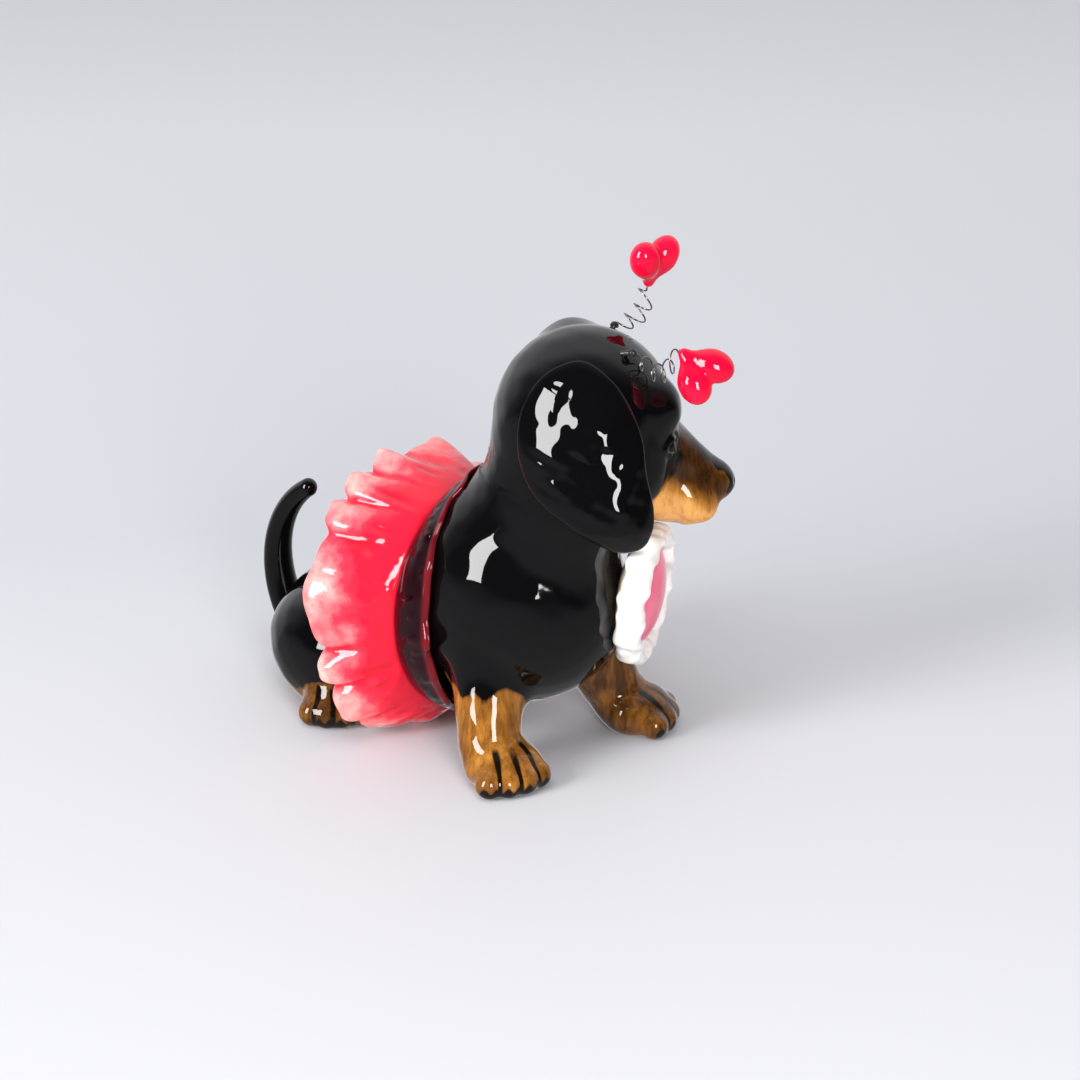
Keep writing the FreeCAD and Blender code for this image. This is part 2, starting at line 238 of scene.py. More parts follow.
def made(name, points, faces, masks=None):
    """A smooth mesh object from points in millimetres, with masks as point attributes."""
    mesh = bpy.data.meshes.new(name)
    faces = faces.tolist() if isinstance(faces, np.ndarray) else faces
    mesh.from_pydata(np.asarray(points) * MM, [], faces)
    mesh.polygons.foreach_set("use_smooth", np.ones(len(mesh.polygons), bool))
    for label, values in (masks or {}).items():
        layer = mesh.attributes.new(label, "FLOAT", "POINT")
        layer.data.foreach_set("value", np.asarray(values, np.float32).ravel())
    mesh.update()
    item = bpy.data.objects.new(name, mesh)
    bpy.context.collection.objects.link(item)
    return item


def ring_faces(around, along, closed):
    """Quads of a grid of around x along points, closed round its first index and, if asked, its second."""
    i, j = np.meshgrid(np.arange(around), np.arange(along if closed else along - 1), indexing="ij")
    k, m = (i + 1) % around, (j + 1) % along
    return np.stack((i * along + j, k * along + j, k * along + m, i * along + m), axis=-1).reshape(-1, 4)


def tube(path, radius, sides=12):
    """Points and faces of a round tube along a path, closed at both ends. radius may vary."""
    path = np.asarray(path, float)
    radius = np.broadcast_to(radius, len(path))
    heading = np.gradient(path, axis=0)
    heading /= np.linalg.norm(heading, axis=1)[:, None]
    side = np.cross(heading[0], (0.3, 0.5, 0.8))
    angles = np.linspace(0, 2 * math.pi, sides, endpoint=False)
    rings = []
    for spot, ahead, r in zip(path, heading, radius):
        side = side - ahead * (side @ ahead)
        side /= np.linalg.norm(side)
        up = np.cross(ahead, side)
        rings.append(spot + r * (np.cos(angles)[:, None] * side + np.sin(angles)[:, None] * up))
    points = np.concatenate(rings)
    faces = [[a + b, a + (b + 1) % sides, a + sides + (b + 1) % sides, a + sides + b]
             for a in range(0, (len(path) - 1) * sides, sides) for b in range(sides)]
    faces += [list(range(sides))[::-1], list(range(len(points) - sides, len(points)))]
    return points, faces


def worn(item, body, slot, material, *nodes):
    """Finishes a piece: what it rides on, its finish and the CAD nodes that it stands for."""
    item.data.materials.append(material)
    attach(item, body)
    if nodes:
        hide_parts(*nodes)
    return item


def smoothstep(low, high, value):
    share = np.clip((value - low) / (high - low), 0, 1)
    return share * share * (3 - 2 * share)


# ---------------------------------------------------------------- materials

def glaze(name, colour, roughness=0.05, bump=0.0, scale=90.0):
    """A fired glossy glaze over a colour or a colour's nodes. Returns the material."""
    material = bpy.data.materials.new(name)
    material.use_nodes = True
    nodes, links = material.node_tree.nodes, material.node_tree.links
    shader = nodes["Principled BSDF"]
    shader.inputs["Roughness"].default_value = roughness
    shader.inputs["IOR"].default_value = 1.5
    if callable(colour):
        links.new(colour(nodes, links), shader.inputs["Base Color"])
    else:
        shader.inputs["Base Color"].default_value = (*colour, 1)
    if bump:
        links.new(rippled(nodes, links, bump, scale), shader.inputs["Normal"])
    return material


def rippled(nodes, links, strength, scale):
    """The slight orange-peel ripple of a poured glaze."""
    noise = noise_node(nodes, links, scale, detail=2.0)
    bump = nodes.new("ShaderNodeBump")
    bump.inputs["Strength"].default_value = strength
    bump.inputs["Distance"].default_value = 0.0006
    links.new(noise, bump.inputs["Height"])
    return bump.outputs["Normal"]


def noise_node(nodes, links, scale, detail=4.0, stretch=(1, 1, 1), roughness=0.55, turn=(0, 0, 0)):
    """Noise over the object's own coordinates, stretched along an axis if asked."""
    place = nodes.new("ShaderNodeTexCoord")
    mapping = nodes.new("ShaderNodeMapping")
    mapping.inputs["Scale"].default_value = stretch
    mapping.inputs["Rotation"].default_value = [math.radians(a) for a in turn]
    noise = nodes.new("ShaderNodeTexNoise")
    noise.inputs["Scale"].default_value = scale
    noise.inputs["Detail"].default_value = detail
    noise.inputs["Roughness"].default_value = roughness
    links.new(place.outputs["Object"], mapping.inputs["Vector"])
    links.new(mapping.outputs["Vector"], noise.inputs["Vector"])
    return noise.outputs["Fac"]


def ramp(nodes, links, value, *stops):
    """A colour ramp through stops of (place, colour)."""
    node = nodes.new("ShaderNodeValToRGB")
    while len(node.color_ramp.elements) < len(stops):
        node.color_ramp.elements.new(0.5)
    for element, (spot, colour) in zip(node.color_ramp.elements, stops):
        element.position = spot
        element.color = (*colour, 1)
    links.new(value, node.inputs["Fac"])
    return node.outputs["Color"]


def mixed(nodes, links, share, first, second, how="MIX"):
    """Two colours mixed by a share, which is a socket or a number."""
    node = nodes.new("ShaderNodeMix")
    node.data_type, node.blend_type = "RGBA", how
    for socket, value in ((node.inputs[0], share), (node.inputs[6], first), (node.inputs[7], second)):
        if isinstance(value, bpy.types.NodeSocket):
            links.new(value, socket)
        else:
            socket.default_value = value if isinstance(value, float) else (*value, 1)
    return node.outputs[2]


def summed(nodes, links, *terms):
    """A sum of terms, each a socket or a (socket, factor) pair or a number."""
    total = None
    for term in terms:
        if isinstance(term, tuple):
            node = nodes.new("ShaderNodeMath")
            node.operation = "MULTIPLY"
            links.new(term[0], node.inputs[0])
            node.inputs[1].default_value = term[1]
            term = node.outputs[0]
        if total is None:
            total = term
            continue
        node = nodes.new("ShaderNodeMath")
        node.operation = "ADD"
        node.use_clamp = False
        links.new(total, node.inputs[0])
        if isinstance(term, float):
            node.inputs[1].default_value = term
        else:
            links.new(term, node.inputs[1])
        total = node.outputs[0]
    return total


def mask(nodes, label):
    node = nodes.new("ShaderNodeAttribute")
    node.attribute_name = label
    return node.outputs["Fac"]


BLACK = (0.0025, 0.0023, 0.0026)


def body_colour(nodes, links):
    """Black glaze with brushed tan where the tan mask says, and inked lines between the toes."""
    strokes = noise_node(nodes, links, 260.0, 6.0, (1, 1, 0.16), 0.65, (12, 8, 0))
    fine = noise_node(nodes, links, 900.0, 4.0, (1, 1, 0.12), 0.7, (-10, 14, 0))
    patches = noise_node(nodes, links, 75.0, 3.0)
    # The gold mask holds the tan's golden tone and also painted shade on the far front leg.
    warmth_and_shade = summed(nodes, links, mask(nodes, "gold_and_shade"), (strokes, 0.85), (fine, 0.35), (patches, 0.60),
                    -0.93)
    tan = ramp(nodes, links, warmth_and_shade, (0.0, (0.012, 0.006, 0.003)), (0.28, (0.070, 0.026, 0.006)),
               (0.5, (0.21, 0.080, 0.013)), (0.75, (0.44, 0.185, 0.030)), (1.0, (0.78, 0.38, 0.11)))
    edge = ramp(nodes, links, summed(nodes, links, mask(nodes, "tan"), (strokes, 0.7), (fine, 0.3), -0.5),
                (0.42, (0, 0, 0)), (0.62, (1, 1, 1)))
    coloured = mixed(nodes, links, edge, BLACK, tan)
    inked = ramp(nodes, links, summed(nodes, links, mask(nodes, "ink"), (fine, 0.4), -0.2),
                 (0.3, (0, 0, 0)), (0.65, (1, 1, 1)))
    return mixed(nodes, links, inked, coloured, (0.006, 0.0035, 0.002))


def skirt_colour(nodes, links):
    """Red glaze, pale at the rim and on the puffs, deep red near the waist and darker red in the creases:
    the deep red near the waist and the darker creases are painted shade, and the paler puffs are painted
    light.
    """
    cloud = noise_node(nodes, links, 95.0, 5.0)
    streak = noise_node(nodes, links, 240.0, 4.0)
    tone = summed(nodes, links, (mask(nodes, "pale"), 0.85), (cloud, 0.75), (streak, 0.55), -0.78)
    base = ramp(nodes, links, tone, (0.0, (0.70, 0.012, 0.035)), (0.28, (0.80, 0.035, 0.065)),
                (0.5, (0.84, 0.16, 0.17)), (0.75, (0.84, 0.38, 0.34)), (1.0, (0.84, 0.60, 0.54)))
    return mixed(nodes, links, mask(nodes, "crease_shade"), base, (0.45, 0.008, 0.015))


def band_colour(nodes, links):
    cloud = noise_node(nodes, links, 160.0, 4.0)
    tone = summed(nodes, links, mask(nodes, "lip"), (cloud, 0.5), -0.28)
    return ramp(nodes, links, tone, (0.0, (0.010, 0.0012, 0.0025)), (0.5, (0.060, 0.002, 0.006)),
                (1.0, (0.13, 0.005, 0.010)))


def trim_colour(nodes, links):
    cloud = noise_node(nodes, links, 220.0, 4.0)
    return ramp(nodes, links, cloud, (0.35, (0.70, 0.66, 0.62)), (0.6, (0.86, 0.84, 0.82)))


def face_colour(nodes, links):
    cloud = noise_node(nodes, links, 130.0, 4.0, (1, 1, 0.5))
    return ramp(nodes, links, cloud, (0.3, (0.72, 0.115, 0.205)), (0.7, (0.80, 0.22, 0.30)))


def clay_colour(nodes, links):
    cloud = noise_node(nodes, links, 300.0, 6.0)
    return ramp(nodes, links, cloud, (0.3, (0.42, 0.31, 0.20)), (0.7, (0.66, 0.55, 0.42)))


def heart_colour(nodes, links):
    cloud = noise_node(nodes, links, 60.0, 2.0)
    return ramp(nodes, links, cloud, (0.3, (0.66, 0.002, 0.026)), (0.7, (0.80, 0.006, 0.045)))


def paper_colour(nodes, links):
    """The sweep's pale paper, darkest in a band just behind the figurine and lighter farther back: the dark
    band is painted shade.
    """
    place = nodes.new("ShaderNodeTexCoord")
    dot = nodes.new("ShaderNodeVectorMath")
    dot.operation = "DOT_PRODUCT"
    dot.inputs[1].default_value = (*AHEAD, 0)
    links.new(place.outputs["Object"], dot.inputs[0])
    return ramp(nodes, links, summed(nodes, links, (dot.outputs["Value"], 0.8), 0.3),
                (0.16, (0.58, 0.58, 0.61)), (0.29, (0.58, 0.58, 0.61)), (0.40, (0.56, 0.565, 0.60)),
                (0.60, (0.64, 0.64, 0.68)), (0.90, (0.74, 0.74, 0.78)))


def wire_metal():
    material = bpy.data.materials.new("spring_wire")
    material.use_nodes = True
    nodes, links = material.node_tree.nodes, material.node_tree.links
    shader = nodes["Principled BSDF"]
    shader.inputs["Metallic"].default_value = 1.0
    drawn = noise_node(nodes, links, 1500.0, 3.0)
    links.new(ramp(nodes, links, drawn, (0.3, (0.20, 0.19, 0.18)), (0.7, (0.42, 0.41, 0.40))),
              shader.inputs["Base Color"])
    shader.inputs["Roughness"].default_value = 0.28
    return material


GLAZED = glaze("body_glaze", body_colour, 0.035, 0.05, 120.0)
EAR_GLAZE = glaze("ear_glaze", body_colour, 0.03, 0.08, 110.0)
SKIRT = glaze("skirt_glaze", skirt_colour, 0.08, 0.10, 260.0)
BAND = glaze("band_glaze", band_colour, 0.05, 0.08, 200.0)
TRIM = glaze("trim_glaze", trim_colour, 0.34, 0.15, 400.0)
FACE = glaze("face_glaze", face_colour, 0.08, 0.04, 150.0)
BACKING = glaze("backing_clay", clay_colour, 0.8, 0.5, 900.0)
HEART = glaze("heart_glaze", heart_colour, 0.05, 0.03, 90.0)
GLUE = glaze("glue", (0.02, 0.019, 0.02), 0.25, 0.3, 900.0)
EYE = glaze("eye_glaze", (0.004, 0.002, 0.0015), 0.02)
WIRE = wire_metal()


# ---------------------------------------------------------------- the glazed body

def paw(clay, place, reach, spread, thick, soft=1.6):
    """Four toes side by side, the middle two longest, with a knuckle behind each. Returns them."""
    toes = []
    for number, ahead in enumerate((0.0, 1.0, 0.9, -0.4)):
        x = spread * (number - 1.5)
        root = (x * 0.55, 2.0, thick + 3.6)
        tip = (x, -reach - 1.6 * ahead, thick * 0.92)
        toes.append(clay.add(limb(place, root, tip, thick * 1.1, thick), soft))
    return toes


# Lines on one side of the face, in the head's frame: the rims of the eyelids and the mouth.
LIDS = ((10.2, -22.9, -5.6), (12.4, -23.2, -3.4), (15.6, -21.2, -3.6), (17.2, -18.6, -5.8),
        (15.4, -20.6, -8.2), (12.4, -22.4, -8.4), (10.2, -22.9, -5.6))
MOUTH = ((0.8, -37.6, -31.2), (3.6, -35.2, -33.2), (6.4, -30.0, -33.0), (8.8, -24.6, -30.2),
         (10.4, -19.8, -26.6))


def body_clay():
    """The dog without ears and tail. Returns the clay and its masses by name, for the masks."""
    clay, parts = Clay(floor=0.0), {}
    torso = (
        ("rump", (0, -8, 20), (30, 34, 23), 0), ("belly", (0, -43, 42), (29, 30, 32), 12),
        ("chest", (0, -69, 48.5), (29, 31, 32), 12), ("withers", (0, -66, 62), (24, 20, 26), 12),
        ("neck", (0, -80, 84), (20, 21, 26), 10))
    for name, centre, radii, soft in torso:
        parts[name] = clay.add(ellipsoid(WORLD, centre, radii), soft or 3)
    parts["skull"] = clay.add(ellipsoid(HEAD, (0, 1, -0.8), (26, 26.4, 27)), 7)
    clay.add(ellipsoid(HEAD, (12, 2, 15.6), (11, 11, 9.6)), 2.5)
    parts["muzzle"] = clay.add(limb(HEAD, (0, -17.6, -11.2), (0, -36.0, -23.0), 12.4, 7.0), 4)
    parts["jaw"] = clay.add(limb(HEAD, (0, -15.5, -22.5), (0, -29.8, -30.6), 10.4, 5.6), 3)
    parts["nose"] = clay.add(ellipsoid(HEAD, (0, -39.0, -22.0), (4.8, 5.0, 4.0), 0, 0, 40), 4)
    for side in SIDES.values():
        clay.add(ellipsoid(HEAD, (13 * side, -9, -13), (11.0, 11.5, 12)), 6)
        clay.add(ellipsoid(HEAD, (10 * side, -18.2, 4.5), (8.0, 7.0, 8.2)), 4)
        lip = ellipsoid(HEAD, (5.2 * side, -29.6, -25.6), (6.2, 9.5, 7.0), 0, 0, 40)
        parts[f"lip{side}"] = clay.add(lip, 3)
        clay.add(ellipsoid(HEAD, (13.6 * side, -21.6, -5.8), (3.6, 3.0, 3.0)), 1.6, carve=True)
        for a, b in zip(LIDS, LIDS[1:]):
            clay.add(limb(HEAD, (a[0] * side, *a[1:]), (b[0] * side, *b[1:]), 0.9, 0.9), 1.4)
        clay.add(ellipsoid(HEAD, (2.3 * side, -44.2, -22.4), (1.0, 1.6, 0.8)), 0.8, carve=True)
        for a, b in zip(MOUTH, MOUTH[1:]):
            clay.add(limb(HEAD, (a[0] * side, *a[1:]), (b[0] * side, *b[1:]), 0.5, 0.5), 1.2, carve=True)
    parts["toes"] = []
    for side, lead in ((-1, 0.0), (1, 5.0)):
        shoulder, ankle = (16 * side, -68 - lead, 38), ((25.5 + 0.4 * lead) * side, -76 - lead, 11)
        parts[f"leg{side}"] = clay.add(limb(WORLD, shoulder, ankle, 12.0, 9.2), 5)
        foot = Place(((25.5 + 0.7 * lead) * side, -80.5 - 1.2 * lead, 0), turned(25 * side))
        parts[f"foot{side}"] = clay.add(ellipsoid(foot, (0, -1.5, 5.4), (11.6, 11.5, 8.0)), 3)
        parts["toes"].append((foot, paw(clay, foot, 9.2, 5.2, 4.3)))
        parts[f"thigh{side}"] = clay.add(ellipsoid(WORLD, (21 * side, -3, 18), (12, 21, 18.5), 8 * side), 6)
        hind = Place((25.5 * side, -13.0, 0), turned(52 * side))
        parts[f"hind{side}"] = clay.add(ellipsoid(hind, (0, 1.0, 6.4), (9.8, 10.5, 9.0)), 1.6)
        parts["toes"].append((hind, paw(clay, hind, 6.2, 4.4, 4.6)))
    return clay, parts


def body_masks(points, parts):
    """How tan, how golden and how inked each point is. The gold mask also holds painted shade: the far
    front leg is made less golden than the near one.
    """
    wander = 1.2 * np.sin(points[:, 0] * 0.55) + 1.0 * np.sin(points[:, 1] * 0.8 + 1.3)
    tan, gold_and_shade, ink = (np.zeros(len(points)) for _ in range(3))
    z = points[:, 2]
    trunk = np.minimum(parts["chest"](points), parts["belly"](points))
    for side in (-1, 1):
        leg = np.minimum(parts[f"leg{side}"](points), parts[f"foot{side}"](points))
        on_leg = smoothstep(-0.5, 2.5, trunk - leg) * smoothstep(29.5, 26.5, z + wander)
        on_leg = np.maximum(on_leg, smoothstep(2.5, 0.5, parts[f"foot{side}"](points)))
        hind = parts[f"hind{side}"](points)
        thigh = parts[f"thigh{side}"](points)
        on_hind = np.maximum(smoothstep(3.6, 1.6, hind) * smoothstep(-2.0, 0.0, thigh - hind),
                             smoothstep(10.5, 8.0, z + wander) * smoothstep(3, 0, thigh))
        tan = np.maximum(tan, np.maximum(on_leg, on_hind))
        # Painted shade: the far front leg, away from the light, gets less gold than the near one.
        gold_and_shade = np.maximum(gold_and_shade, on_leg * (0.52 if side < 0 else 0.40))
        gold_and_shade = np.maximum(gold_and_shade, on_hind * 0.40)
    for foot, toes in parts["toes"]:
        local = foot.into(points)
        near = np.sort(np.stack([toe(points) for toe in toes]), axis=0)
        tan = np.maximum(tan, smoothstep(1.6, 0.6, near[0]))
        gold_and_shade = np.maximum(gold_and_shade, 0.42 * smoothstep(1.6, 0.6, near[0]))
        front = smoothstep(-1.5, -5.0, local[:, 1]) * smoothstep(4, 1.5, near[0])
        ink = np.maximum(ink, front * smoothstep(1.3, 0.1, near[1] - near[0]))
        tips = smoothstep(5.5, 2.0, z + 0.8 * np.sin(1.9 * local[:, 0])) * front
        ink = np.maximum(ink, 0.9 * tips * smoothstep(-9.0, -12.0, local[:, 1]))
    q = HEAD.into(points)
    x, y, z = np.abs(q[:, 0]), q[:, 1], q[:, 2]
    ahead = -y - 25 + 0.75 * np.maximum(0, -13 - z) + 0.5 * np.sin(z * 1.3)
    masses = [parts[name](points) for name in ("skull", "muzzle", "jaw", "lip-1", "lip1")]
    near_face = smoothstep(4.0, 2.0, np.min(masses, axis=0))
    face = smoothstep(-1.5, 1.8, ahead) * near_face * (y < -8)
    axis = -12.4 + (y + 17.6) * 0.58
    stripe = smoothstep(6.4, 3.8, x + 0.4 * np.sin(y * 1.7)) * smoothstep(2.0, 6.0, z - axis)
    nose = smoothstep(-40.4, -42.0, y + 0.35 * (z + 23.0)) * smoothstep(-26.5, -24.5, z)
    tan = np.maximum(tan, face * (1 - stripe) * (1 - nose))
    low = smoothstep(2.0, -9.0, z - axis)
    gold_and_shade = np.maximum(gold_and_shade, face * (0.26 + 0.70 * low))
    ink = np.maximum(ink, face * nose)
    return {"tan": tan, "gold_and_shade": gold_and_shade, "ink": ink}


def glazed_body():
    clay, parts = body_clay()
    points, quads = clay.meshed(VOXEL)
    masks = body_masks(points, parts)
    x, y, z = points.T
    wobble = (0.13 * np.sin(0.31 * x + 0.2 * z) * np.sin(0.27 * y + 1.1) * np.sin(0.29 * z + 0.16 * y)
              + 0.05 * np.sin(0.72 * x + 0.3 * y + 0.4) * np.sin(0.66 * z - 0.3 * y))
    points = points + clay.slope(points) * (wobble * smoothstep(0.5, 8, z))[:, None]
    item = made("glazed_body", points, quads, masks)
    worn(item, "figurine", "black_glaze", GLAZED, "torso_shell", "head_shell",
         *[f"{pair}_{side}" for pair in ("front_leg", "hind_leg") for side in SIDES])
    for name, side in SIDES.items():
        ball = Clay()
        ball.add(ellipsoid(HEAD, (13.5 * side, -20.4, -5.9), (3.2, 2.7, 2.9)))
        worn(made(f"eye_{name}", *ball.meshed(0.4)), "figurine", "black_glaze", EYE)


# ---------------------------------------------------------------- ears and tail

EAR_OUTLINE = ((-10.3, 1.9), (-12.0, -12.0), (-12.8, -24.5), (-10.8, -29.8), (-5.2, -31.5), (3.5, -27.8),
               (11.0, -23.0), (19.0, -16.6), (23.0, -7.0), (23.0, 2.6), (19.6, 12.0), (12.0, 19.5),
               (4.5, 21.5), (-2.6, 17.0), (-7.6, 9.5))
EAR_CENTRE = (5.0, -4.5)
EAR_BULGES = ((1.7, -1.5, -19, 6, 8), (0.9, 4, 7, 8, 9))     # height, place and spread of each


def outline_radius(outline, centre, angles):
    """Distance from a centre to a closed outline at each angle, smooth between the outline's points."""
    points = np.array(outline) - centre
    at = np.arctan2(points[:, 1], points[:, 0])
    order = np.argsort(at)
    at, far = at[order], np.hypot(*points[order].T)
    at = np.concatenate((at - 2 * math.pi, at, at + 2 * math.pi))
    far = np.tile(far, 3)
    grade = np.gradient(far, at)
    angles = (angles + math.pi) % (2 * math.pi) - math.pi
    k = np.clip(np.searchsorted(at, angles) - 1, 0, len(at) - 2)
    width = at[k + 1] - at[k]
    u = (angles - at[k]) / width
    return ((2 * u ** 3 - 3 * u ** 2 + 1) * far[k] + (u ** 3 - 2 * u ** 2 + u) * width * grade[k]
            + (3 * u ** 2 - 2 * u ** 3) * far[k + 1] + (u ** 3 - u ** 2) * width * grade[k + 1])


def ear(name, side):
    """A hanging flap: a plump sheet with a thick rolled edge, close to the skull at its top."""
    around, rings = 220, 46
    turns = np.linspace(0, 2 * math.pi, around, endpoint=False)
    section = np.linspace(-math.pi / 2, math.pi / 2, 2 * rings + 1)
    share = np.cos(section) ** 0.55
    far = outline_radius(EAR_OUTLINE, EAR_CENTRE, turns)
    y = EAR_CENTRE[0] + far[:, None] * np.cos(turns)[:, None] * share
    z = EAR_CENTRE[1] + far[:, None] * np.sin(turns)[:, None] * share
    rim = share ** 6
    thick = 1.7 + 0.8 * rim * smoothstep(10, -20, z) + 0.6 * smoothstep(10, -30, z)
    bent = np.where(z > -24, 1.2 - 0.19 * z - 0.0092 * np.maximum(z + 8, 0) ** 2, 5.76 + 0.3 * (z + 24))
    for height, cy, cz, wy, wz in EAR_BULGES:
        bent = bent + height * np.exp(-((y - cy) / wy) ** 2 - ((z - cz) / wz) ** 2)
    sheet = 27.3 + bent - 0.019 * np.maximum(y + 2, 0) ** 2 - 0.010 * np.minimum(y + 2, 0) ** 2
    lumps = (0.40 * np.sin(0.26 * y + 0.12 * z + 0.6) * np.sin(0.24 * z - 0.1 * y + 0.4)
             + 0.18 * np.sin(0.62 * y - 0.25 * z + 2.0) * np.sin(0.53 * z + 0.9)
             + 0.07 * np.sin(1.1 * z + 0.5 * y) * np.sin(0.95 * y - 0.4 * z + 1.0))
    x = sheet + thick * np.sin(section) + lumps * (1 - share ** 8) * smoothstep(-0.6, 0.4, np.sin(section))
    grid = np.stack((side * x, y, z), axis=-1)
    points = HEAD.out(grid.reshape(-1, 3))
    faces = ring_faces(around, 2 * rings + 1, False)
    if side < 0:
        faces = faces[:, ::-1]
    item = made(f"ear_flap_{name}", points, faces)
    return worn(item, "figurine", "black_glaze", EAR_GLAZE, f"ear_{name}")


def tail():
    """A tapering arc behind the rump, blunt at its tip, with its root bent into the rump."""
    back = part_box("tail")[1][1] / MM
    radius, tip, root = 32.8, 2.8, 5.6
    centre = np.array((0, back - root + 0.9 - radius, 32.6))
    first = math.radians(-42)
    shares = 1 - (1 - np.linspace(0, 1, 110)) ** 1.8
    turns = first + math.radians(104) * shares
    path = centre + radius * np.stack((0 * turns, np.cos(turns), np.sin(turns)), axis=1)
    inside = np.array((0, 10, 10.0))
    bend = path[0] - 6 * np.array((0, -math.sin(first), math.cos(first)))
    run = np.linspace(0, 1, 16)[:-1, None]
    buried = (1 - run) ** 2 * inside + 2 * run * (1 - run) * bend + run ** 2 * path[0]
    path = np.concatenate((buried, path))
    shares = np.concatenate((0 * run[:, 0], shares))
    thick = root + (tip - root) * shares ** 1.3
    cap = np.sqrt(np.clip(1 - ((shares - 0.955) / 0.045).clip(0, 1) ** 2, 0.0004, 1))
    item = made("tail_glazed", *tube(path, thick * cap, 28))
    return worn(item, "figurine", "black_glaze", GLAZED, "tail")


# ---------------------------------------------------------------- skirt and waistband

# Half widths and half heights of the skirt's middle line, at the waist and at the rim, and the
# place along the dog of the waistband's rear edge.
SKIRT_INNER, SKIRT_OUTER = (29.7, 32.8), (45.6, 39.6)
BAND_REAR = -44.6


def creases(random, count, turn, out, depth, width, start, reach):
    """Seeded radial creases: how deep each grid point lies in one."""
    total = np.zeros(np.broadcast(turn, out).shape)
    for number in range(count):
        at = 2 * math.pi * (number + random.uniform(-0.35, 0.35)) / count
        slant = random.uniform(-0.16, 0.16)
        begin = random.uniform(*start)
        end = begin + random.uniform(*reach)
        gap = (turn - at - slant * (1 - out) + math.pi) % (2 * math.pi) - math.pi
        wide = width * random.uniform(0.7, 1.4)
        strength = depth * random.uniform(0.5, 1.0)
        along = smoothstep(begin, begin + 0.15, out) * smoothstep(end + 0.12, end - 0.1, out)
        total += strength * np.exp(-(gap / wide) ** 2) * along
    return total


def skirt():
    """A plump ruffled collar round the waist, flat where it stands on the floor."""
    random = np.random.default_rng(7)
    around, section = 900, 120
    turn = np.linspace(0, 2 * math.pi, around, endpoint=False)[:, None]
    side = np.linspace(0, 2 * math.pi, section, endpoint=False)[None, :]
    out = (1 - np.sign(np.cos(side)) * np.abs(np.cos(side)) ** 0.85) / 2
    drift = 0.13 * np.sin(3 * turn + 0.7) + 0.07 * np.sin(5 * turn + 2.1) + 0.03 * np.sin(11 * turn)
    ruffle = 7 * (turn + drift)
    tall = 0.75 + 0.25 * np.sin(4 * turn + 1.0) * np.sin(9 * turn + 0.4)
    lobe = np.sqrt(np.sin(ruffle) ** 2 + 0.03) * tall - 0.5
    wave = out ** 3 * (4.9 * lobe + 0.35 * np.sin(29 * (turn + drift) + 1.0))
    valley = np.exp(-(np.sin(ruffle + 0.5 * (1 - out)) / 0.28) ** 2) * smoothstep(0.3, 0.9, out)
    deep = creases(random, 22, turn, out, 1.0, 0.045, (0.1, 0.5), (0.25, 0.6))
    fine = creases(random, 70, turn, out, 0.7, 0.022, (0.1, 0.8), (0.12, 0.3))
    puff = creases(random, 30, turn, out, 1.0, 0.075, (0.1, 0.6), (0.2, 0.6))
    swell = 1.3 * puff - 1.3 * deep - 0.45 * fine - 1.5 * valley
    low = smoothstep(-0.2, -0.75, np.sin(turn)) * out
    rx = SKIRT_INNER[0] + (SKIRT_OUTER[0] - SKIRT_INNER[0]) * out + wave + 1.5 * low
    rz = SKIRT_INNER[1] + (SKIRT_OUTER[1] - SKIRT_INNER[1]) * out + wave + 3.5 * low
    square = 1 + (np.where(np.sin(turn) < 0, 2 / 2.7, 1.0) - 1) * out
    x = rx * np.sign(np.cos(turn)) * np.abs(np.cos(turn)) ** square
    z = rz * np.sign(np.sin(turn)) * np.abs(np.sin(turn)) ** square
    lean = math.tan(math.radians(10)) * z * out
    thick = 6.8 * (1 - 0.2 * out)
    bow = np.sign(np.sin(side)) * np.abs(np.sin(side)) ** 0.85
    y = 17.5 * out + lean + 0.5 * wave + (thick + swell * out ** 0.5) * bow
    puffed = 1 + 0.012 * swell * out
    points = np.stack((x * puffed, y, z * puffed), axis=-1) + SKIRT_WAIST
    points[..., 2] = np.maximum(points[..., 2], 0.0) + 0.15 * np.exp(-np.maximum(points[..., 2], 0) / 0.8)
    # The pale mask rises toward the rim and on the puffs, as painted light, and falls near the waist and in
    # the creases, as painted shade; the crease mask is painted shade in the creases.
    pale = smoothstep(0.35, 1.2, out + 0.05 * wave + 0.12 * swell)
    masks = {"pale": pale, "crease_shade": np.clip(0.8 * deep + 0.5 * fine + 0.4 * valley - 0.35, 0, 1)}
    item = made("tutu_ruffles", points.reshape(-1, 3), ring_faces(around, section, True), masks)
    return worn(item, "figurine", "skirt_glaze", SKIRT, "tutu_frill")


